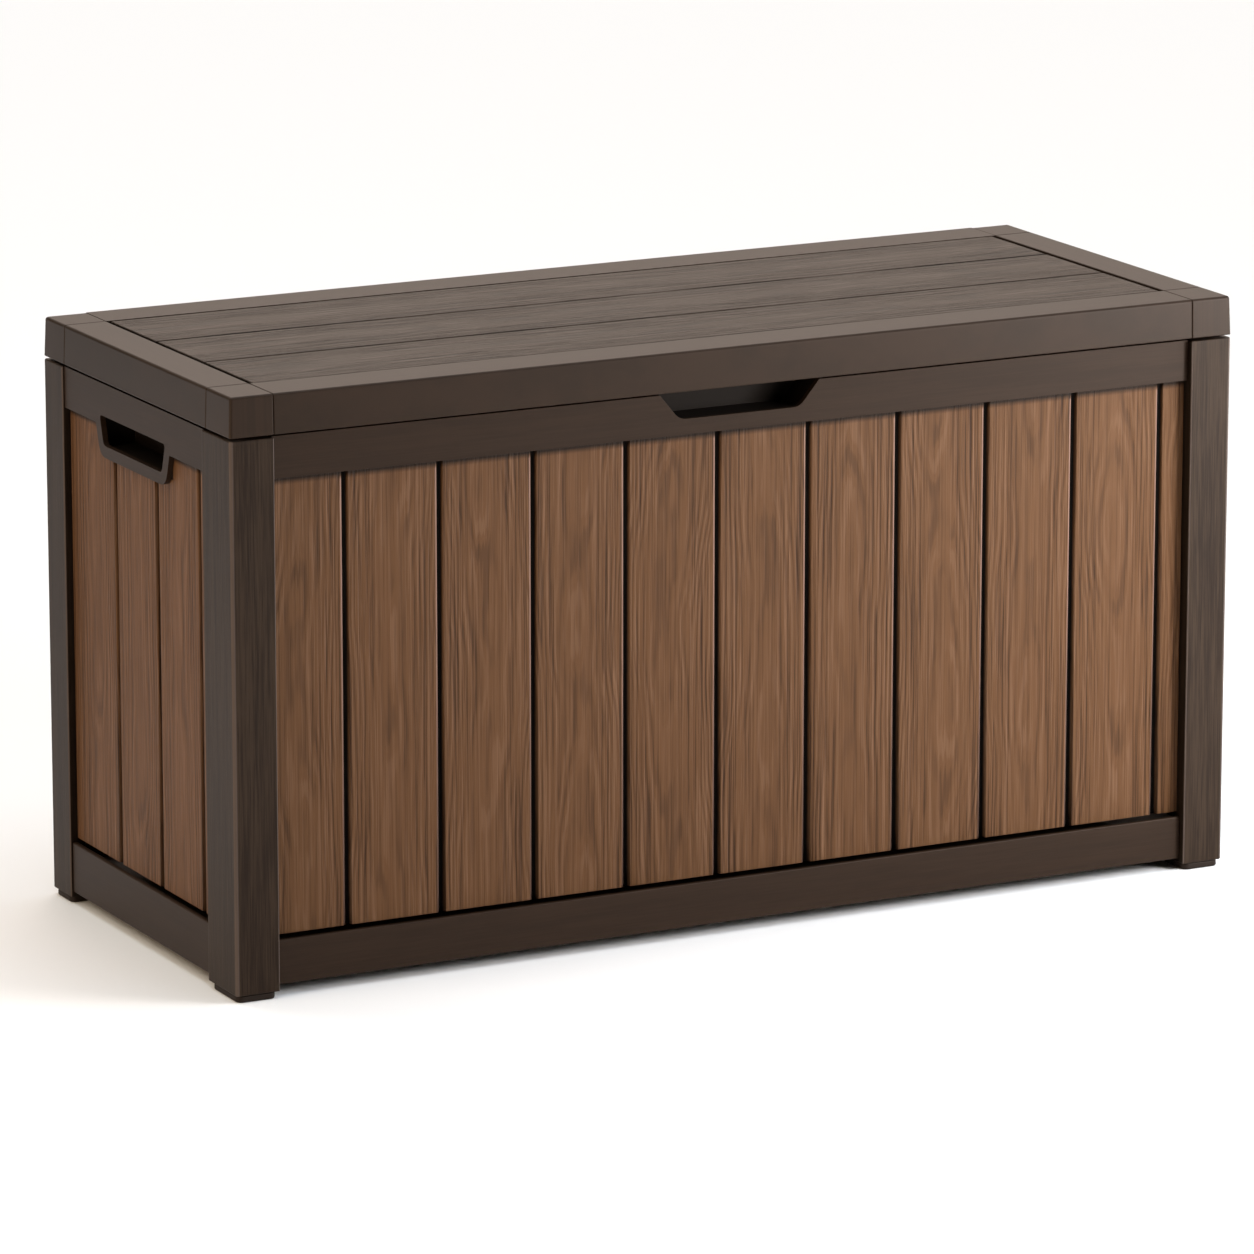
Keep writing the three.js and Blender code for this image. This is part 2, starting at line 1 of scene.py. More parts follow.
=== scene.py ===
"""Deck storage box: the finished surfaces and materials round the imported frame.

Lengths are in metres. X runs along the box, Y from front to back and Z up.
"""
import math

import bmesh
import bpy
import numpy as np
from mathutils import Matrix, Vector


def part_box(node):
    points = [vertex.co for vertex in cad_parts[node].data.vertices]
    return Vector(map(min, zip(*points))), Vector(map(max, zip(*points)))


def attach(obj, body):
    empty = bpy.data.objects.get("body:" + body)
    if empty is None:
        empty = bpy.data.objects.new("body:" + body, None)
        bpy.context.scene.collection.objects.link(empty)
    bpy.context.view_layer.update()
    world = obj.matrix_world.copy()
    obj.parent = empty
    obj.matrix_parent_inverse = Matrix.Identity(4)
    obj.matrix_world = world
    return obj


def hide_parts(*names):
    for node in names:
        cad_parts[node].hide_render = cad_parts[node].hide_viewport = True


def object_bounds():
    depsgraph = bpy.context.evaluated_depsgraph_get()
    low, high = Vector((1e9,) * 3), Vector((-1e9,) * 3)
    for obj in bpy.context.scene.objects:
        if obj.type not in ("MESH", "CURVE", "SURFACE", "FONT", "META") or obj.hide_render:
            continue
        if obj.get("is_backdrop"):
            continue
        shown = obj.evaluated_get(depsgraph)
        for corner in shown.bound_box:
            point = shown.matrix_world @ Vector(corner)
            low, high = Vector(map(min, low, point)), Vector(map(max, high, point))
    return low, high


bl_info = {
    "name": "Deck storage box",
    "version": (1, 0, 0),
    "blender": (4, 5, 0),
    "location": "View3D > Sidebar > Deck box",
    "description": "Builds the surfaces and materials of a resin deck storage box",
    "category": "Object",
}

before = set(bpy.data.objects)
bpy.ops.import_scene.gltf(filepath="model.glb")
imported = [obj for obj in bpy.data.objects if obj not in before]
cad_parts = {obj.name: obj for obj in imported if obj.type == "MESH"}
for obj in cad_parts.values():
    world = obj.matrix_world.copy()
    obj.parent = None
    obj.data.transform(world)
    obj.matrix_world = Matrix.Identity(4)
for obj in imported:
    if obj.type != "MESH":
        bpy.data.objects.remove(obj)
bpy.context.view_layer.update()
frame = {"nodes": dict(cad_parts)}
MM = 0.001
ARC_STEPS = 6  # points on a rounded corner of an outline
RIM_STEPS = 4  # rings on the rounded end of a carried outline
EDGE_TURN = math.radians(40)  # an edge that turns by more than this is rounded
CLEARANCE = 0.3 * MM  # between a moulding and the one it plugs into
PANEL_SKIN = 5.5 * MM  # thickness of a wall's planks
PANEL_RISE = 4.5 * MM  # from a bottom rail's top to the lower end of the planks
LAST_PLANK = 20 * MM  # the narrowest plank that may end a wall
SHADE_START = 9 * MM  # below a top rail, where the planks begin to lie in its shade
SHADE_FULL = 3.5 * MM  # below a top rail, where its shade is deepest
FOOT_CORNER = 7 * MM  # radius of a foot's upright corners
BOARD_TRIM = 1.2 * MM  # taken off each end of a lid board, so that its joint reads as a gap
BOARD_HALF = 60 * MM  # half the width of a lid board

ENDS = ("left", "right")
WALLS = ("front", "back", "left", "right")
CORNERS = [f"{y}_{x}" for y in ("front", "back") for x in ENDS]


def linear(code):
    """An sRGB colour, given as a hex number, as linear red, green and blue."""
    parts = [(code >> shift & 255) / 255 for shift in (16, 8, 0)]
    return tuple(c / 12.92 if c <= 0.04045 else ((c + 0.055) / 1.055) ** 2.4 for c in parts)


def length(name, description, default_mm):
    """A length property, given in millimetres and kept in metres."""
    return bpy.props.FloatProperty(
        name=name, description=description, default=default_mm * MM, min=0, unit="LENGTH"
    )


def colour(name, description, code):
    """A colour property from an sRGB hex number."""
    return bpy.props.FloatVectorProperty(
        name=name, description=description, default=linear(code), size=3, min=0, max=1, subtype="COLOR"
    )


class DeckBoxSizes(bpy.types.PropertyGroup):
    """Radii and patterns of the moulded surfaces; every place comes from the frame."""

    post_edge: length("Post edge", "Radius of a post's outer upright edge", 4.0)
    post_arris: length("Post arris", "Radius of a post's other edges", 1.6)
    rail_edge: length("Rail edge", "Radius of the rails' edges", 1.4)
    lid_edge: length("Lid edge", "Radius of the lid's outer top edge", 3.2)
    lid_arris: length("Lid arris", "Radius of the joints between the lid's pieces", 1.3)
    board_edge: length("Board edge", "Radius of a lid board's edges", 1.5)
    foot_edge: length("Foot edge", "Radius of a foot's lower edge", 2.0)
    plank_pitch: length("Plank pitch", "Distance between two grooves of a wall panel", 109.3)
    first_plank: length("First plank", "Width of the long panels' first plank", 86.0)
    side_first_plank: length("Side first plank", "Width of the side panels' first plank", 28.0)
    groove_mouth: length("Groove mouth", "Width of a groove at the planks' face", 7.0)
    groove_floor: length("Groove floor", "Width of a groove at its floor", 4.5)
    groove_depth: length("Groove depth", "Depth of a groove", 4.5)
    groove_lip: length("Groove lip", "Radius of a groove's rounded lips", 3.0)


class DeckBoxColours(bpy.types.PropertyGroup):
    """Colours of the resins and of the hinge steel."""

    frame: colour("Frame", "Dark brown resin of the posts, rails and lid frame", 0x2A1D14)
    post: colour("Posts", "Dark brown resin of the corner posts", 0x30241A)
    frame_streak: colour("Frame streak", "Darker streaks in the frame resin", 0x1C120B)
    lid: colour("Lid frame", "Dark brown resin of the lid's rails and corners", 0x2B1F17)
    lid_streak: colour("Lid frame streak", "Darker streaks in the lid frame", 0x201812)
    # painted shade: the pockets' colour is the frame's resin darkened to stand for shade in the recesses
    pocket: colour("Pockets", "Shaded resin of the finger pocket and hand cups", 0x15100D)
    board: colour("Lid boards", "Dark brown resin of the lid's boards", 0x34281F)
    board_streak: colour("Lid board grain", "Grain of the lid's boards", 0x0E0A07)
    plank: colour("Planks", "Mid brown resin of the wall planks", 0x5E4028)
    plank_grain: colour("Plank grain", "Grain lines of the wall planks", 0x2C1A0F)
    foot: colour("Feet", "Resin of the feet", 0x241C17)
    inner: colour("Inside", "Resin of the floor and the liner", 0x3A3029)
    hinge: colour("Hinges", "Resin of the hinge leaves", 0x2A221D)
    steel: colour("Steel", "Zinc-plated steel of the pins and screws", 0xB9B9B4)
    floor: colour("Studio floor", "Plain pale floor", 0xF7F6F5)


# --- outlines and surfaces ------------------------------------------------------------------------


def rounded(corners):
    """The closed outline through [u, v, radius] corners, with each corner as a tangent arc.

    An arc's centre lies on the corner's bisector, at radius over the sine of half the angle.
    """
    points = []
    places = [np.array(c[:2], float) for c in corners]
    for i, corner in enumerate(corners):
        here = places[i]
        radius = corner[2] if len(corner) > 2 else 0
        if not radius:
            points.append(here[None])
            continue
        before = places[i - 1] - here
        after = places[(i + 1) % len(corners)] - here
        before /= np.linalg.norm(before)
        after /= np.linalg.norm(after)
        half = 0.5 * math.acos(np.clip(before @ after, -1, 1))
        bisector = before + after
        bisector /= np.linalg.norm(bisector)
        centre = here + bisector * radius / math.sin(half)
        start = here + before * radius / math.tan(half) - centre
        end = here + after * radius / math.tan(half) - centre
        sweep = math.pi - 2 * half
        t = np.linspace(0, 1, ARC_STEPS)[:, None]
        arc = (start * np.sin((1 - t) * sweep) + end * np.sin(t * sweep)) / math.sin(sweep)
        points.append(centre + arc)
    return np.concatenate(points)


def inward(outline):
    """The mitred step that moves each point of a closed outline inwards by one unit."""
    ahead = np.roll(outline, -1, 0) - outline
    ahead /= np.linalg.norm(ahead, axis=1)[:, None]
    x, y = outline.T
    turn = np.sign(np.sum(x * np.roll(y, -1) - y * np.roll(x, -1)))
    normal = turn * np.stack([-ahead[:, 1], ahead[:, 0]], 1)
    behind = np.roll(normal, 1, 0)
    both = normal + behind
    return both / (1 + np.sum(normal * behind, 1))[:, None]


AXES = {"x": (1, 2, 0), "y": (0, 2, 1), "z": (0, 1, 2)}


def carried(outline, axis, low, high, rim):
    """A closed outline carried straight along an axis, with both ends rounded by a radius.

    Ring k stands at the end plus rim * (1 - sin a) and is drawn in by rim * (1 - cos a), with a
    from 0 to a right angle, so the end turns into the sides along a quarter circle.
    """
    angle = np.linspace(0, math.pi / 2, RIM_STEPS)
    along = rim * (1 - np.sin(angle))
    drawn = rim * (1 - np.cos(angle))
    places = np.concatenate([low + along, high - along])
    insets = np.concatenate([drawn, drawn])
    order = np.argsort(places, kind="stable")
    places, insets = places[order], insets[order]
    rings = outline[None] + insets[:, None, None] * inward(outline)[None]
    u, v, w = AXES[axis]
    count, size = len(places), len(outline)
    points = np.empty((count, size, 3))
    points[..., u] = rings[..., 0]
    points[..., v] = rings[..., 1]
    points[..., w] = places[:, None]
    steps = np.linalg.norm(np.roll(outline, -1, 0) - outline, axis=1)
    across = np.concatenate([[0], np.cumsum(steps)[:-1]])
    grain = np.stack(np.broadcast_arrays(across[None], places[:, None]), -1)
    ring = np.arange(size)
    nxt = np.roll(ring, -1)
    start = (np.arange(count - 1) * size)[:, None]
    quads = np.stack([start + ring, start + nxt, start + size + nxt, start + size + ring], -1)
    faces = quads.reshape(-1, 4).tolist() + [ring[::-1].tolist(), (ring + (count - 1) * size).tolist()]
    return points.reshape(-1, 3), faces, grain.reshape(-1, 2)


def turned(profile, centre, axis, sides=40):
    """A profile of [along, radius] points turned round an axis, starting and ending on it."""
    profile = np.array(profile, float)
    angle = np.linspace(0, 2 * math.pi, sides, endpoint=False)
    middle = profile[1:-1]
    u, v, w = AXES[axis]
    points = np.empty((len(middle), sides, 3))
    points[..., u] = centre[u] + middle[:, 1:] * np.cos(angle)
    points[..., v] = centre[v] + middle[:, 1:] * np.sin(angle)
    points[..., w] = centre[w] + middle[:, :1]
    poles = np.tile(np.array(centre, float), (2, 1))
    poles[:, w] += profile[[0, -1], 0]
    flat = np.concatenate([points.reshape(-1, 3), poles])
    ring = np.arange(sides)
    nxt = np.roll(ring, -1)
    start = (np.arange(len(middle) - 1) * sides)[:, None]
    quads = np.stack([start + ring, start + nxt, start + sides + nxt, start + sides + ring], -1)
    last = (len(middle) - 1) * sides
    first_pole, last_pole = len(flat) - 2, len(flat) - 1
    first_cap = np.stack([np.full(sides, first_pole), nxt, ring], 1)
    last_cap = np.stack([np.full(sides, last_pole), last + ring, last + nxt], 1)
    faces = quads.reshape(-1, 4).tolist() + first_cap.tolist() + last_cap.tolist()
    return flat, faces, flat[:, [u, w]]


def points_of(mesh):
    """A mesh's points as one array."""
    points = np.empty(len(mesh.vertices) * 3, np.float32)
    mesh.vertices.foreach_get("co", points)
    return points.reshape(-1, 3)


def signed_volume(mesh):
    """Six times the volume a mesh encloses: the sum of (a x b) . c over its triangles abc."""
    mesh.calc_loop_triangles()
    corners = np.empty(len(mesh.loop_triangles) * 3, np.int32)
    mesh.loop_triangles.foreach_get("vertices", corners)
    a, b, c = points_of(mesh)[corners].reshape(-1, 3, 3).transpose(1, 0, 2)
    return float(np.sum(np.cross(a, b) * c))


def write_grain(mesh, values, seed, painted_light):
    """Stores on each point across, along and seed for the grain, and its painted shade and highlight.

    The painted light is 0 on a face, up to 1 for painted shade in a gap, below 0 for a painted
    highlight.
    """
    seeds = np.broadcast_to(np.asarray(seed, float), len(values))[:, None]
    full = np.concatenate([values, seeds], 1)
    attribute = mesh.attributes.new("grain", "FLOAT_VECTOR", "POINT")
    attribute.data.foreach_set("vector", full.astype(np.float32).ravel())
    painted_light_values = np.broadcast_to(np.asarray(painted_light, float), len(values))
    attribute = mesh.attributes.new("painted_light", "FLOAT", "POINT")
    attribute.data.foreach_set("value", painted_light_values.astype(np.float32))


def make_piece(name, shell, material, body, replaces, seed=0.0, painted_light=0.0):
    """A new object from points, faces and grain, turned outwards and hung on its body."""
    points, faces, grain = shell
    mesh = bpy.data.meshes.new(name)
    mesh.from_pydata(points.tolist(), [], faces)
    if signed_volume(mesh) < 0:
        mesh.flip_normals()
    write_grain(mesh, grain, seed, painted_light)
    return finish_piece(name, mesh, material, body, replaces)


def finish_piece(name, mesh, material, body, replaces):
    """Smooth faces with area-weighted normals, a material, a body and the node replaced."""
    mesh.shade_smooth()
    mesh.materials.append(material)
    piece = bpy.data.objects.new(name, mesh)
    bpy.context.scene.collection.objects.link(piece)
    weighted = piece.modifiers.new("flat faces", "WEIGHTED_NORMAL")
    weighted.keep_sharp = True
    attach(piece, body)
    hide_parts(replaces)
    return piece


def eased_copy(node, name, material, body, radius, along, across, seed=0.0):
    """A merged copy of a frame node with its flat faces made whole and its edges rounded."""
    shape = bmesh.new()
    shape.from_mesh(frame["nodes"][node].data)
    bmesh.ops.remove_doubles(shape, verts=shape.verts, dist=2e-6)
    bmesh.ops.dissolve_limit(
        shape, angle_limit=math.radians(0.5), verts=shape.verts, edges=shape.edges
    )
    mesh = bpy.data.meshes.new(name)
    shape.to_mesh(mesh)
    shape.free()
    write_grain(mesh, points_of(mesh)[:, ["xyz".index(across), "xyz".index(along)]], seed, 0.0)
    piece = finish_piece(name, mesh, material, body, node)
    bevel = piece.modifiers.new("eased edges", "BEVEL")
    bevel.width = radius
    bevel.segments = 3
    bevel.limit_method = "ANGLE"
    bevel.angle_limit = EDGE_TURN
    bevel.use_clamp_overlap = True
    piece.modifiers.move(1, 0)
    return piece


# --- materials ------------------------------------------------------------------------------------


def add(tree, kind, settings=None, **inputs):
    """A node with its settings; an input takes a value or the output that feeds it."""
    made = tree.nodes.new("ShaderNode" + kind)
    for key, value in (settings or {}).items():
        setattr(made, key, value)
    for key, value in inputs.items():
        number = key.removeprefix("in")
        socket = made.inputs[int(number)] if number.isdigit() else made.inputs[key.replace("_", " ")]
        if isinstance(value, bpy.types.NodeSocket):
            tree.links.new(value, socket)
        else:
            socket.default_value = value
    return made


def maths(tree, operation, a, b=0.0, c=0.0):
    """The output of one arithmetic step."""
    return add(tree, "Math", {"operation": operation}, in0=a, in1=b, in2=c).outputs[0]


def new_material(name):
    """An empty material with its output, ready for a shader."""
    material = bpy.data.materials.new(name)
    material.use_nodes = True
    material.node_tree.nodes.clear()
    return material, material.node_tree


def finish_material(tree, base, height, bump, roughness):
    """Moulded polypropylene: a dielectric of IOR 1.49 with a soft, weak and slightly warm sheen.

    Its grain is a shallow relief in the mould, which breaks the sheen up.
    """
    relief = add(tree, "Bump", Height=height, Distance=bump, Strength=1.0)
    shader = add(
        tree, "BsdfPrincipled", Base_Color=base, Roughness=roughness, Normal=relief.outputs[0],
        IOR=1.49, Specular_IOR_Level=0.15,
    )
    shader.inputs["Specular Tint"].default_value = (1.0, 0.86, 0.76, 1.0)
    add(tree, "OutputMaterial", Surface=shader.outputs[0])


def stretched_noise(tree, grain, across_mm, along_mm, detail=3.0, shift=0.0):
    """Noise whose features are across_mm wide and along_mm long, different for each seed."""
    parts = add(tree, "SeparateXYZ", in0=grain)
    across = maths(tree, "MULTIPLY", parts.outputs[0], 1 / (across_mm * MM))
    along = maths(tree, "MULTIPLY", parts.outputs[1], 1 / (along_mm * MM))
    deep = maths(tree, "MULTIPLY_ADD", parts.outputs[2], 7.31, shift)
    vector = add(tree, "CombineXYZ", in0=across, in1=along, in2=deep).outputs[0]
    noise = add(tree, "TexNoise", Vector=vector, Scale=1.0, Detail=detail, Roughness=0.6)
    return noise.outputs["Fac"]


def mixed(tree, factor, a, b):
    """The colour between a and b at a factor."""
    pick = {"data_type": "RGBA"}
    made = add(tree, "Mix", pick, in0=factor)
    for number, value in ((6, a), (7, b)):
        if isinstance(value, bpy.types.NodeSocket):
            tree.links.new(value, made.inputs[number])
        else:
            made.inputs[number].default_value = (*value, 1)
    return made.outputs[2]


def ramp(tree, factor, low, high):
    """A factor stretched so that low becomes 0 and high becomes 1, held between them."""
    made = add(tree, "MapRange", {"clamp": True, "interpolation_type": "SMOOTHSTEP"}, in0=factor)
    made.inputs[1].default_value = low
    made.inputs[2].default_value = high
    return made.outputs[0]


def painted_shade_and_highlight(tree, plain, dark):
    """The colour turned nearly black by painted shade in a groove or a joint, paler by a painted
    highlight.

    The painted light runs from 0 on a face to 1 at the bottom of a gap, and is below 0 on a painted
    highlight.
    """
    painted_light = add(tree, "Attribute", {"attribute_name": "painted_light"}).outputs["Fac"]
    # painted shade: nearly black where the painted light rises towards 1
    gap = mixed(tree, painted_light, plain, tuple(0.06 * c for c in dark))
    # painted highlight: a pale colour where the painted light is below 0
    return mixed(tree, maths(tree, "MULTIPLY", painted_light, -1.0), gap, tuple(6 * c + 0.07 for c in dark))


def resin_with_streaks(name, base, streak, depth_mm, roughness, contrast):
    """Injection-moulded polypropylene with a brushed mould finish: fine lengthwise streaks.

    Real brush marks are a few tenths of a millimetre wide; these are 1.6 mm, as coarse as they
    need to be to show.
    """
    material, tree = new_material(name)
    grain = add(tree, "Attribute", {"attribute_name": "grain"}).outputs["Vector"]
    broad = stretched_noise(tree, grain, 14, 260)
    fine = stretched_noise(tree, grain, 1.6, 70, 4.0, 3.7)
    both = maths(tree, "MULTIPLY_ADD", fine, 0.6, maths(tree, "MULTIPLY", broad, 0.4))
    amount = maths(tree, "MULTIPLY", ramp(tree, both, 0.38, 0.62), contrast)
    plain = mixed(tree, amount, base, streak)
    colour_here = painted_shade_and_highlight(tree, plain, streak)
    finish_material(tree, colour_here, fine, depth_mm * MM, roughness)
    return material


def plain_resin(name, base, roughness):
    """An injection-moulded resin with a spark-eroded mould finish: dull, with an even, fine grit.

    Real grit is about 0.2 mm; this is 2.5 mm, as coarse as it needs to be to show.
    """
    material, tree = new_material(name)
    place = add(tree, "TexCoord").outputs["Object"]
    grit = add(tree, "TexNoise", Vector=place, Scale=1 / (2.5 * MM), Detail=2.0).outputs["Fac"]
    cloud = add(tree, "TexNoise", Vector=place, Scale=1 / (90 * MM), Detail=2.0).outputs["Fac"]
    darker = tuple(0.82 * c for c in base)
    colour_here = mixed(tree, cloud, base, darker)
    finish_material(tree, colour_here, grit, 0.05 * MM, roughness)
    return material


def wood_grained_resin(name, base, line, half_width, rings, wander, relief_mm, contrast, roughness):
    """Polypropylene moulded like flat-sawn timber: arched rings, and straight grain at the edges.

    The ring number is rings * (across / half width) squared plus slow noise along the plank, so
    its contours arch over the plank's middle and run straight and close towards its edges. Fine
    straight fibres lie over the rings; real ones are under 1 mm wide, and these are 2.3 mm, as
    coarse as they need to be to show.
    """
    material, tree = new_material(name)
    grain = add(tree, "Attribute", {"attribute_name": "grain"}).outputs["Vector"]
    parts = add(tree, "SeparateXYZ", in0=grain)
    slow = stretched_noise(tree, grain, 120, 330, 2.0, 1.3)
    bend = maths(tree, "MULTIPLY_ADD", stretched_noise(tree, grain, 400, 420, 1.0, 9.1), 0.8, -0.4)
    side = maths(tree, "MULTIPLY_ADD", parts.outputs[0], 1 / half_width, bend)
    arch = maths(tree, "MULTIPLY", maths(tree, "MULTIPLY", side, side), rings)
    ring = maths(tree, "MULTIPLY_ADD", slow, wander, arch)
    wobble = maths(tree, "MULTIPLY_ADD", stretched_noise(tree, grain, 5, 160, 2.0, 5.2), 0.8, ring)
    wave = maths(tree, "SINE", maths(tree, "MULTIPLY", wobble, 2 * math.pi))
    patch = ramp(tree, stretched_noise(tree, grain, 14, 120, 2.0, 8.8), 0.4, 0.62)
    depth = maths(tree, "MULTIPLY_ADD", patch, 0.45, 0.1)
    rings_dark = maths(tree, "MULTIPLY", ramp(tree, wave, 0.2, 1.0), depth)
    rings_light = maths(tree, "MULTIPLY", ramp(tree, wave, -0.4, -1.0), depth)
    fibre = stretched_noise(tree, grain, 2.3, 220, 4.0, 2.2)
    away = maths(tree, "MULTIPLY_ADD", ramp(tree, maths(tree, "ABSOLUTE", side), 0.15, 0.6), 0.6, 0.4)
    dark_fibre = maths(tree, "MULTIPLY", ramp(tree, fibre, 0.52, 0.61), away)
    light_fibre = maths(tree, "MULTIPLY", ramp(tree, fibre, 0.46, 0.37), away)
    dark = maths(tree, "MULTIPLY_ADD", dark_fibre, 0.85, rings_dark)
    light = maths(tree, "MULTIPLY_ADD", light_fibre, 0.8, rings_light)
    tone = maths(tree, "MULTIPLY_ADD", stretched_noise(tree, grain, 30, 340, 2.0, 6.6), 0.3, -0.15)
    tint = maths(tree, "FRACT", maths(tree, "MULTIPLY", parts.outputs[2], 0.618))
    shade = maths(tree, "MULTIPLY_ADD", tint, 0.25, tone)
    deeper = tuple(0.84 * c for c in base)
    paler = tuple(min(1, 1.3 * c + 0.02) for c in base)
    plank = mixed(tree, maths(tree, "ADD", shade, 0.4), base, deeper)
    lit = mixed(tree, maths(tree, "MULTIPLY", light, contrast), plank, paler)
    wood = mixed(tree, maths(tree, "MULTIPLY", dark, contrast), lit, line)
    colour_here = painted_shade_and_highlight(tree, wood, line)
    height = maths(tree, "SUBTRACT", light, dark)
    finish_material(tree, colour_here, height, relief_mm * MM, roughness)
    return material


def plated_steel(name, base):
    """Zinc-plated, drawn steel: a bright metal with a soft, slightly cloudy gloss."""
    material, tree = new_material(name)
    place = add(tree, "TexCoord").outputs["Object"]
    cloud = add(tree, "TexNoise", Vector=place, Scale=1 / (6 * MM), Detail=3.0).outputs["Fac"]
    rough = add(tree, "MapRange", in0=cloud)
    rough.inputs[3].default_value = 0.25
    rough.inputs[4].default_value = 0.45
    shader = add(tree, "BsdfPrincipled", Metallic=1.0, Roughness=rough.outputs[0])
    shader.inputs["Base Color"].default_value = (*base, 1)
    add(tree, "OutputMaterial", Surface=shader.outputs[0])
    return material


STORE = {}


def materials():
    """The object's finishes, made once and kept by name."""
    if "looks" in STORE:
        return STORE["looks"]
    c = bpy.context.scene.deck_box_colours
    s = bpy.context.scene.deck_box_sizes
    half = s.plank_pitch / 2
    STORE["looks"] = {
        "frame": resin_with_streaks(
            "brushed_polypropylene_rail", c.frame, c.frame_streak, 0.05, 0.46, 0.5
        ),
        "post": resin_with_streaks(
            "brushed_polypropylene_post", c.post, c.frame_streak, 0.2, 0.46, 1.0
        ),
        "lid": resin_with_streaks(
            "brushed_polypropylene_lid", c.lid, c.lid_streak, 0.07, 0.44, 0.55
        ),
        # the pockets' dark colour is painted shade
        "pocket": plain_resin("eroded_polypropylene_pocket_painted_shade", c.pocket, 0.5),
        "board": wood_grained_resin(
            "grained_polypropylene_board", c.board, c.board_streak, BOARD_HALF, 3.0, 5.0, 0.42, 1.0, 0.45
        ),
        "plank": wood_grained_resin(
            "grained_polypropylene_plank", c.plank, c.plank_grain, half, 6.0, 6.0, 0.22, 0.68, 0.52
        ),
        "foot": plain_resin("eroded_polypropylene_foot", c.foot, 0.55),
        "inner": plain_resin("eroded_polypropylene_inside", c.inner, 0.5),
        "hinge": plain_resin("eroded_polyamide_hinge", c.hinge, 0.45),
        "steel": plated_steel("zinc_plated_steel", c.steel),
    }
    return STORE["looks"]


# --- pieces ---------------------------------------------------------------------------------------


def limits(node):
    """A node's lowest and highest corners as two arrays."""
    low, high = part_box(node)
    return np.array(low), np.array(high)


def build_post(corner, sizes, looks):
    """One post: an L-section with rounded arrises, carried upright over the node's height."""
    node = f"post_{corner}"
    low, high = limits(node)
    sy = -1 if "front" in corner else 1
    sx = -1 if "left" in corner else 1
    outer = np.array([low[0] if sx < 0 else high[0], low[1] if sy < 0 else high[1]])
    side = limits(f"top_rail_{'left' if sx < 0 else 'right'}")
    face = limits(f"top_rail_{'front' if sy < 0 else 'back'}")
    arm_side = abs((side[1] if sx < 0 else side[0])[0] - outer[0])
    arm_face = abs((face[1] if sy < 0 else face[0])[1] - outer[1])
    wide, long = high[0] - low[0], high[1] - low[1]
    arris = sizes.post_arris
    section = [
        (0, 0, sizes.post_edge), (wide, 0, arris), (wide, arm_face, arris),
        (arm_side, arm_face, arris), (arm_side, long, arris), (0, long, arris),
    ]
    outline = rounded([(outer[0] - sx * a, outer[1] - sy * b, r) for a, b, r in section])
    shell = carried(outline, "z", low[2], high[2], arris * 0.9)
    # painted shade on the joints beside the rails, and a painted highlight on the upright edges
    reach = np.abs(shell[0][:, :2] - outer)
    past_face = (reach[:, 0] > wide - 1.8 * arris) * (reach[:, 1] - 0.6 * arris)
    past_side = (reach[:, 1] > long - 1.8 * arris) * (reach[:, 0] - 0.6 * arris)
    painted_light = np.clip(np.maximum(past_face, past_side) / arris, 0, 1)
    # painted highlight along the outer upright edge and the arrises beside it
    edge = (reach.sum(1) < 1.2 * sizes.post_edge) & (reach.max(1) < 0.8 * sizes.post_edge)
    edge |= (reach[:, 0] > wide - 0.7 * arris) & (reach[:, 1] < 0.7 * arris)
    edge |= (reach[:, 1] > long - 0.7 * arris) & (reach[:, 0] < 0.7 * arris)
    painted_light = np.where(edge, -0.5, painted_light)
    seed = CORNERS.index(corner) + 0.37
    make_piece(f"{node}_skin", shell, looks["post"], "box", node, seed, painted_light)


def build_foot(corner, sizes, looks):
    """One foot: a rounded pad that stops under the post; its plug, hidden in the post, is not built."""
    node = f"foot_{corner}"
    low, high = limits(node)
    post_low, _ = limits(f"post_{corner}")
    radius = FOOT_CORNER
    pad = rounded([
        (low[0], low[1], radius), (high[0], low[1], radius),
        (high[0], high[1], radius), (low[0], high[1], radius),
    ])
    shell = carried(pad, "z", low[2], post_low[2] - CLEARANCE, sizes.foot_edge)
    make_piece(f"{node}_pad", shell, looks["foot"], "box", node)


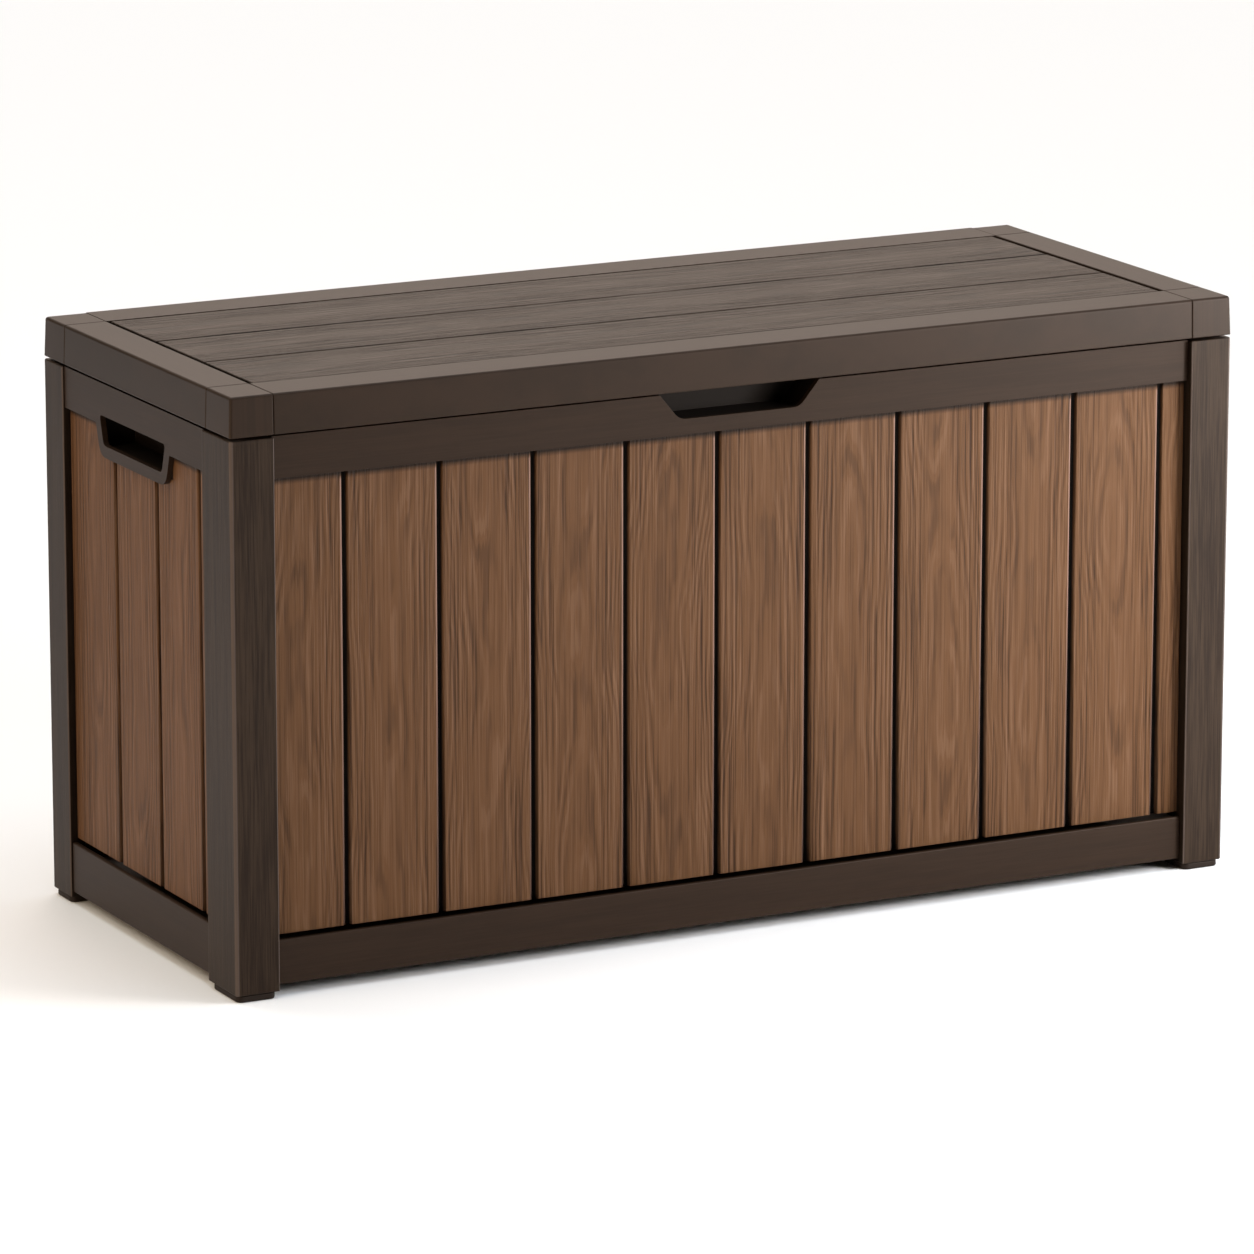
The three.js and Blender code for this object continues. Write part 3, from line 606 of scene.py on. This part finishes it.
def panel_shell(start, end, face, back, grooves, bottom, top, hole, shade_rows, sizes):
    """A grooved panel, as points in (along the wall, depth, height), with one squared hole.

    The face line with its grooves and the plain back line make one ring, which is repeated at
    each height. The quads inside the hole are left out, and the hole's floor, sides and roof join
    the two lines. A hole that reaches the top splits the panel's top edge in two.
    """
    mouth, floor = sizes.groove_mouth / 2, sizes.groove_floor / 2
    toward = np.sign(back - face)
    sunk_face = face + toward * sizes.groove_depth
    lip, small = sizes.groove_lip, 0.6 * MM
    corners = [(start, face, small)]
    marks = [(g, None) for g in grooves]
    marks += [(h, h) for h in hole[:2]] if hole else []
    for place, edge in sorted(marks, key=lambda m: m[0]):
        if edge is not None:
            corners.append((place, face))
            continue
        corners += [
            (place - mouth, face, lip), (place - floor, sunk_face, small),
            (place + floor, sunk_face, small), (place + mouth, face, lip * 0.6),
        ]
    corners.append((end, face, small))
    # how many of the ring's points lie on the face line
    split = len(rounded(corners + [(end, back, 0), (start, back, 0)])) - 2
    back_corners = [(end, back, small)]
    back_corners += [(h, back) for h in sorted(hole[:2], reverse=True)] if hole else []
    ring = rounded(corners + back_corners + [(start, back, small)])
    heights = sorted({bottom, top, *shade_rows, *([hole[2], min(hole[3], top)] if hole else [])})
    size, count = len(ring), len(heights)
    points = np.empty((count, size, 3))
    points[..., :2] = ring
    points[..., 2] = np.array(heights)[:, None]
    index = np.arange(size)
    nxt = np.roll(index, -1)
    start_of = (np.arange(count - 1) * size)[:, None]
    above = start_of + size
    quads = np.stack([start_of + index, start_of + nxt, above + nxt, above + index], -1)
    faces = [index[::-1].tolist()]
    roof = (index + (count - 1) * size).tolist()
    if not hole:
        return points.reshape(-1, 3), quads.reshape(-1, 4).tolist() + faces + [roof]
    left, right, low, high = hole
    middle = (ring[index, 0] + ring[nxt, 0]) / 2
    level = (np.array(heights)[:-1] + np.array(heights)[1:]) / 2
    inside = (middle > left) & (middle < right)
    keep = ~(inside[None] & ((level > low) & (level < high))[:, None])
    on = np.isclose(ring[:, 0], left), np.isclose(ring[:, 0], right)
    f_left, f_right = (int(np.flatnonzero(o[:split])[0]) for o in on)
    b_left, b_right = (int(split + np.flatnonzero(o[split:])[0]) for o in on)
    loop = list(range(f_left, f_right + 1)) + list(range(b_right, b_left + 1))
    sill = heights.index(low) * size
    faces.append([i + sill for i in loop])
    lintel_row = heights.index(min(high, top))
    for f, b in ((f_left, b_left), (f_right, b_right)):
        rows = range(sill, (lintel_row + 1) * size, size)
        side = [b + row for row in rows] + [f + row for row in reversed(rows)]
        faces.append(side if f == f_left else side[::-1])
    if high < top:
        faces.append([i + lintel_row * size for i in reversed(loop)])
        faces.append(roof)
    else:
        last = (count - 1) * size
        near = list(range(0, f_left + 1)) + list(range(b_left, size))
        far = list(range(f_right, b_right + 1))
        faces += [[i + last for i in near], [i + last for i in far]]
    return points.reshape(-1, 3), quads[keep].tolist() + faces


def build_panel(wall, sizes, looks):
    """One wall panel of grooved planks, with a hole for the pocket or hand cup behind its rail."""
    node = f"panel_{wall}"
    low, high = limits(node)
    _, rail_high = limits(f"bottom_rail_{wall}")
    across = 0 if wall in ("front", "back") else 1
    deep = 1 - across
    facing = {"front": -1, "back": 1, "left": -1, "right": 1}[wall]
    face = low[deep] if facing < 0 else high[deep]
    back = face - facing * PANEL_SKIN
    start, end = low[across], high[across]
    first, step = start - CLEARANCE + sizes.first_plank, sizes.plank_pitch
    if wall == "back":
        first, step = end + CLEARANCE - sizes.first_plank, -sizes.plank_pitch
    if across == 1:
        first = start - CLEARANCE + sizes.side_first_plank
    last = end if step > 0 else start
    count = 1 + int((abs(last - first) - LAST_PLANK) / abs(step))
    grooves = np.sort(first + step * np.arange(count))
    hole = None
    if wall != "back":
        cup_low, cup_high = limits("finger_cup" if wall == "front" else f"hand_cup_{wall}")
        hole = [
            cup_low[across] - CLEARANCE, cup_high[across] + CLEARANCE,
            cup_low[2] - CLEARANCE, cup_high[2] + CLEARANCE,
        ]
        if wall == "front":
            hole[3] = high[2]
    bottom = rail_high[2] + PANEL_RISE
    under_rail = float(limits("top_rail_back")[0][2])
    shade_rows = [under_rail - SHADE_START, under_rail - SHADE_FULL]
    points, faces = panel_shell(
        start, end, face, back, grooves, bottom, high[2], hole, shade_rows, sizes
    )
    along = points[:, 0]
    depth = np.abs(points[:, 1] - face)
    edges = np.concatenate([[start], grooves, [end]])
    number = np.clip(np.searchsorted(edges, along) - 1, 0, len(edges) - 2)
    middle = (edges[number] + edges[number + 1]) / 2
    middle = np.where(number == 0, edges[1] - sizes.plank_pitch / 2, middle)
    middle = np.where(number == len(edges) - 2, edges[-2] + sizes.plank_pitch / 2, middle)
    values = np.stack([along - middle, points[:, 2]], 1)
    # painted shade darkens a groove's floor, a painted highlight lies on the lip on a groove's left on
    # the long walls, and a painted shadow darkens the planks under the top rail
    in_groove = depth < sizes.groove_depth + 0.2 * MM
    painted_light = np.where(in_groove, np.clip((depth / sizes.groove_depth - 0.55) / 0.4, 0, 1), 0)
    if across == 0:
        nearest = grooves[np.abs(along[:, None] - grooves).argmin(1)]
        lip = (depth > 0.02 * sizes.groove_depth) & (depth < 0.4 * sizes.groove_depth)
        painted_light = np.where(lip & ((nearest - along) * -facing > 0), -1.0, painted_light)
    under = 0.9 * np.clip((points[:, 2] - shade_rows[0]) / (SHADE_START - SHADE_FULL), 0, 1)
    painted_light = np.where(under > 0, np.maximum(painted_light, under), painted_light)
    if across == 1:
        points = points[:, [1, 0, 2]]
    seeds = 20.3 * WALLS.index(wall) + 1.7 * number
    shell = points, faces, values
    make_piece(f"{node}_planks", shell, looks["plank"], "box", node, seeds, painted_light)


def build_rails(wall, sizes, looks):
    """The top and bottom rails of one wall, as eased copies that keep their notch or bezel."""
    along = "x" if wall in ("front", "back") else "y"
    number = WALLS.index(wall)
    for place in ("top", "bottom"):
        node = f"{place}_rail_{wall}"
        seed = 40 + number * 2 + (place == "top")
        eased_copy(
            node, f"{node}_skin", looks["frame"], "box", sizes.rail_edge, along, "z", seed
        )


def build_lid_frame(sizes, looks):
    """The lid's rails and corner blocks, with a large radius along the lid's outer top edge."""
    for wall in WALLS:
        along = "x" if wall in ("front", "back") else "y"
        across = "y" if along == "x" else "x"
        lid_copy(f"lid_rail_{wall}", along, across, sizes, looks, 60 + WALLS.index(wall))
    for corner in CORNERS:
        lid_copy(f"lid_corner_{corner}", "y", "x", sizes, looks, 70 + CORNERS.index(corner))


def lid_copy(node, along, across, sizes, looks, seed):
    """An eased copy whose edges on the lid's outside take a larger radius than its joints."""
    piece = eased_copy(
        node, f"{node}_skin", looks["lid"], "lid", sizes.lid_edge, along, across, seed
    )
    mesh = piece.data
    corners = [limits(f"lid_corner_{c}") for c in CORNERS]
    low = np.min([c[0] for c in corners], 0)
    high = np.max([c[1] for c in corners], 0)
    points = points_of(mesh)
    near = 2 * MM
    on_x = (points[:, 0] < low[0] + near) | (points[:, 0] > high[0] - near)
    on_y = (points[:, 1] < low[1] + near) | (points[:, 1] > high[1] - near)
    on_top = points[:, 2] > high[2] - 0.5 * MM
    planes = np.stack([on_x, on_y, on_top], 1)
    pairs = np.empty(len(mesh.edges) * 2, np.int32)
    mesh.edges.foreach_get("vertices", pairs)
    shared = (planes[pairs[::2]] & planes[pairs[1::2]]).sum(1)
    weight = np.where(shared >= 2, 1.0, sizes.lid_arris / sizes.lid_edge)
    weight = np.where(sharp_edges(mesh), weight, 0.0)
    attribute = mesh.attributes.new("bevel_weight_edge", "FLOAT", "EDGE")
    attribute.data.foreach_set("value", weight.astype(np.float32))
    piece.modifiers["eased edges"].limit_method = "WEIGHT"
    return piece


def sharp_edges(mesh):
    """Which edges of a mesh turn by more than EDGE_TURN, as an array of truth values."""
    shape = bmesh.new()
    shape.from_mesh(mesh)
    turns = np.array([edge.calc_face_angle(0.0) for edge in shape.edges])
    shape.free()
    return turns > EDGE_TURN


def build_board(place, sizes, looks):
    """One lid board: a flat bar with rounded edges, carried along the lid."""
    node = f"lid_board_{place}"
    low, high = limits(node)
    edge = sizes.board_edge
    section = rounded([
        (low[1], low[2], edge), (high[1], low[2], edge),
        (high[1], high[2], edge), (low[1], high[2], edge),
    ])
    points, faces, _ = carried(section, "x", low[0] + BOARD_TRIM, high[0] - BOARD_TRIM, edge * 0.9)
    middle = (low[1] + high[1]) / 2
    values = np.stack([points[:, 1] - middle, points[:, 0]], 1)
    # painted shade on the board's rounded sides, so the joints between the boards read dark
    painted_light = np.clip((high[2] - points[:, 2]) / edge - 0.35, 0, 1)
    seed = 90 + 3.1 * ("front", "middle", "back").index(place)
    shell = points, faces, values
    make_piece(f"{node}_skin", shell, looks["board"], "lid", node, seed, painted_light)


def screw_shell(low, high):
    """A pan-head screw along Y: a domed head with a shallow round recess, on a plain shank."""
    centre = (low + high) / 2
    radius = (high[0] - low[0]) / 2
    top = high[1] - centre[1]
    end = low[1] - centre[1]
    under = top - 1.6 * MM
    shank = 1.8 * MM
    profile = [
        (end, 0), (end, shank * 0.6), (end + 1 * MM, shank), (under, shank), (under, radius),
        (under + 0.5 * MM, radius), (top - 0.35 * MM, radius * 0.82), (top, radius * 0.5),
        (top, radius * 0.4), (top - 0.7 * MM, radius * 0.3), (top - 0.7 * MM, 0),
    ]
    return turned(profile, centre, "y")


def pin_shell(low, high):
    """A headed pin along X with slightly domed heads."""
    centre = (low + high) / 2
    head = (high[2] - low[2]) / 2
    shank, thick = 2.5 * MM, 1.5 * MM
    half = (high[0] - low[0]) / 2
    profile = [
        (-half, 0), (-half, head * 0.7), (-half + 0.5 * MM, head), (-half + thick, head),
        (-half + thick, shank), (half - thick, shank), (half - thick, head),
        (half - 0.5 * MM, head), (half, head * 0.7), (half, 0),
    ]
    return turned(profile, centre, "x")


# --- operators ------------------------------------------------------------------------------------


class DECKBOX_OT_posts(bpy.types.Operator):
    """Build the four corner posts and their feet"""

    bl_idname = "deck_box.posts"
    bl_label = "Posts and feet"
    bl_options = {"REGISTER", "UNDO"}

    def execute(self, context):
        sizes, looks = context.scene.deck_box_sizes, materials()
        for corner in CORNERS:
            build_post(corner, sizes, looks)
            build_foot(corner, sizes, looks)
        return {"FINISHED"}


class DECKBOX_OT_panels(bpy.types.Operator):
    """Build the four grooved plank panels"""

    bl_idname = "deck_box.panels"
    bl_label = "Plank panels"
    bl_options = {"REGISTER", "UNDO"}

    def execute(self, context):
        sizes, looks = context.scene.deck_box_sizes, materials()
        for wall in WALLS:
            build_panel(wall, sizes, looks)
        return {"FINISHED"}


class DECKBOX_OT_rails(bpy.types.Operator):
    """Build the top and bottom rails of the walls"""

    bl_idname = "deck_box.rails"
    bl_label = "Rails"
    bl_options = {"REGISTER", "UNDO"}

    def execute(self, context):
        sizes, looks = context.scene.deck_box_sizes, materials()
        for wall in WALLS:
            build_rails(wall, sizes, looks)
        return {"FINISHED"}


class DECKBOX_OT_cups(bpy.types.Operator):
    """Build the finger pocket and the two hand cups"""

    bl_idname = "deck_box.cups"
    bl_label = "Finger pocket and hand cups"
    bl_options = {"REGISTER", "UNDO"}

    def execute(self, context):
        looks = materials()
        for node in ("finger_cup", "hand_cup_left", "hand_cup_right"):
            eased_copy(node, f"{node}_skin", looks["pocket"], "box", 1 * MM, "x", "z", 50)
        return {"FINISHED"}


class DECKBOX_OT_inside(bpy.types.Operator):
    """Build the ribbed floor and the lid's ribbed liner"""

    bl_idname = "deck_box.inside"
    bl_label = "Floor and liner"
    bl_options = {"REGISTER", "UNDO"}

    def execute(self, context):
        looks = materials()
        for node, body in (("floor_panel", "box"), ("lid_liner", "lid")):
            eased_copy(node, f"{node}_skin", looks["inner"], body, 0.8 * MM, "x", "y")
        return {"FINISHED"}


class DECKBOX_OT_hinges(bpy.types.Operator):
    """Build the hinge leaves, their pins and their screws"""

    bl_idname = "deck_box.hinges"
    bl_label = "Hinges"
    bl_options = {"REGISTER", "UNDO"}

    def execute(self, context):
        looks = materials()
        for end in ENDS:
            for kind, body in (("hinge_base", "box"), ("hinge_leaf", "lid")):
                node = f"{kind}_{end}"
                eased_copy(node, f"{node}_skin", looks["hinge"], body, 0.5 * MM, "x", "z")
            node = f"hinge_pin_{end}"
            pin = pin_shell(*limits(node))
            make_piece(f"{node}_turned", pin, looks["steel"], "box", node)
            for side in ("inner", "outer"):
                for kind, body in (("base_screw", "box"), ("leaf_screw", "lid")):
                    node = f"{kind}_{end}_{side}"
                    screw = screw_shell(*limits(node))
                    make_piece(f"{node}_turned", screw, looks["steel"], body, node)
        return {"FINISHED"}


class DECKBOX_OT_lid(bpy.types.Operator):
    """Build the lid's frame and its boards"""

    bl_idname = "deck_box.lid"
    bl_label = "Lid"
    bl_options = {"REGISTER", "UNDO"}

    def execute(self, context):
        sizes, looks = context.scene.deck_box_sizes, materials()
        build_lid_frame(sizes, looks)
        for place in ("front", "middle", "back"):
            build_board(place, sizes, looks)
        return {"FINISHED"}


def sun_light(name, azimuth, elevation, spread, strengths):
    """A distant soft lamp; its strengths are the red, green and blue it gives a white floor."""
    lamp = bpy.data.lights.new(name, "SUN")
    lamp.angle = math.radians(spread)
    a, e = math.radians(azimuth), math.radians(elevation)
    place = Vector((math.sin(a) * math.cos(e), -math.cos(a) * math.cos(e), math.sin(e)))
    hang_lamp(name, lamp, place, place, [math.pi * s for s in strengths])


def area_light(name, place, target, size, watts):
    """A soft square lamp that looks at a target, with its watts of red, green and blue."""
    lamp = bpy.data.lights.new(name, "AREA")
    lamp.shape = "SQUARE"
    lamp.size = size
    hang_lamp(name, lamp, place, Vector(place) - Vector(target), watts)


def hang_lamp(name, lamp, place, back, energies):
    """Puts a lamp at a place with its back along a direction, and gives it energy and tint."""
    lamp.energy = max(energies)
    lamp.color = [e / lamp.energy for e in energies]
    lit = bpy.data.objects.new(name, lamp)
    lit.location = place
    lit.rotation_euler = back.to_track_quat("Z", "Y").to_euler()
    bpy.context.scene.collection.objects.link(lit)


class DECKBOX_OT_stage(bpy.types.Operator):
    """Set up the pale floor, the soft studio light and the camera"""

    bl_idname = "deck_box.stage"
    bl_label = "Stage"
    bl_options = {"REGISTER", "UNDO"}

    azimuth: bpy.props.FloatProperty(
        name="Azimuth", description="Turn of the camera round the box", default=math.radians(-27.2),
        subtype="ANGLE", unit="ROTATION",
    )
    elevation: bpy.props.FloatProperty(
        name="Elevation", description="Height angle of the camera", default=math.radians(13.5),
        subtype="ANGLE", unit="ROTATION",
    )
    distance: bpy.props.FloatProperty(
        name="Distance", description="From the camera to its target", default=8.294, unit="LENGTH"
    )
    lens: bpy.props.FloatProperty(
        name="Lens", description="Focal length in millimetres", default=217.4, unit="CAMERA"
    )

    def execute(self, context):
        low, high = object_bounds()
        centre = (low + high) / 2
        target = Vector((centre.x - 0.016, centre.y, 0.288))
        a, e = self.azimuth, self.elevation
        back = Vector((math.sin(a) * math.cos(e), -math.cos(a) * math.cos(e), math.sin(e)))
        camera = bpy.data.cameras.new("camera")
        camera.lens = self.lens
        camera.sensor_width = 36
        camera.clip_end = 60
        view = bpy.data.objects.new("camera", camera)
        view.location = target + back * self.distance
        view.rotation_euler = back.to_track_quat("Z", "Y").to_euler()
        context.scene.collection.objects.link(view)
        context.scene.camera = view

        floor_half = 14.0  # half the floor's side, well past the camera
        mesh = bpy.data.meshes.new("studio_floor")
        corners = [(-1, -1), (1, -1), (1, 1), (-1, 1)]
        mesh.from_pydata([(x * floor_half, y * floor_half, 0) for x, y in corners], [], [(0, 1, 2, 3)])
        floor = bpy.data.objects.new("studio_floor", mesh)
        context.scene.collection.objects.link(floor)
        material, tree = new_material("matt_painted_floor")
        shader = add(tree, "BsdfPrincipled", Roughness=0.9)
        shader.inputs["Base Color"].default_value = (*context.scene.deck_box_colours.floor, 1)
        shader.inputs["Specular IOR Level"].default_value = 0.1
        add(tree, "OutputMaterial", Surface=shader.outputs[0])
        mesh.materials.append(material)
        floor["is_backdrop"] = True

        world = bpy.data.worlds.new("studio_air")
        world.use_nodes = True
        world.node_tree.nodes["Background"].inputs[0].default_value = (1, 1, 1, 1)
        world.node_tree.nodes["Background"].inputs[1].default_value = 0.02
        context.scene.world = world
        sun_light("left_light", -88, 45, 30, (0.30, 0.27, 0.225))
        sun_light("top_light", 60, 82, 60, (0.55, 0.60, 0.66))
        sun_light("back_left_light", -150, 40, 30, (0.225, 0.20, 0.165))
        sun_light("sheen_light", 153, 30, 40, (0.28, 0.235, 0.205))
        right_face = (0.5, -0.2, 0.4)
        area_light("right_light", (1.9, -2.0, 0.7), right_face, 1.0, (19, 17.5, 16))
        area_light("right_near_light", (1.5, -1.9, 1.2), (0.55, -0.2, 0.6), 0.7, (26, 25, 24))
        area_light("right_high_light", (1.6, -1.2, 1.1), (0.5, -0.2, 0.5), 0.8, (11, 12.5, 14.5))
        area_light("right_post_light", (1.4, -1.35, 0.62), (0.6, -0.25, 0.58), 0.4, (13, 14, 15))
        area_light("right_edge_light", (3.0, -0.9, 0.5), (0.0, -0.25, 0.35), 0.6, (16, 15, 14))
        area_light("left_low_light", (-2.7, -0.6, 0.6), (-0.6, -0.1, 0.4), 0.7, (17.5, 12.8, 8.2))
        context.scene.view_settings.view_transform = "Standard"
        return {"FINISHED"}


class DECKBOX_PT_sidebar(bpy.types.Panel):
    """Lists the steps that build the box"""

    bl_idname = "DECKBOX_PT_sidebar"
    bl_label = "Deck storage box"
    bl_space_type = "VIEW_3D"
    bl_region_type = "UI"
    bl_category = "Deck box"

    def draw(self, context):
        for step in STEPS:
            self.layout.operator(step.bl_idname)
        for group in (context.scene.deck_box_sizes, context.scene.deck_box_colours):
            for name in group.__annotations__:
                self.layout.prop(group, name)


STEPS = (
    DECKBOX_OT_posts, DECKBOX_OT_panels, DECKBOX_OT_rails, DECKBOX_OT_cups, DECKBOX_OT_inside,
    DECKBOX_OT_hinges, DECKBOX_OT_lid, DECKBOX_OT_stage,
)
CLASSES = (DeckBoxSizes, DeckBoxColours, *STEPS, DECKBOX_PT_sidebar)


def register():
    """Registers the classes and hangs the settings on the scene."""
    for each in CLASSES:
        bpy.utils.register_class(each)
    bpy.types.Scene.deck_box_sizes = bpy.props.PointerProperty(type=DeckBoxSizes)
    bpy.types.Scene.deck_box_colours = bpy.props.PointerProperty(type=DeckBoxColours)


def unregister():
    """Takes the settings and the classes away again."""
    del bpy.types.Scene.deck_box_colours
    del bpy.types.Scene.deck_box_sizes
    for each in reversed(CLASSES):
        bpy.utils.unregister_class(each)


def main():
    """Builds everything in order."""
    register()
    for step in STEPS:
        group, name = step.bl_idname.split(".")
        getattr(getattr(bpy.ops, group), name)()


if __name__ == "__main__":
    main()
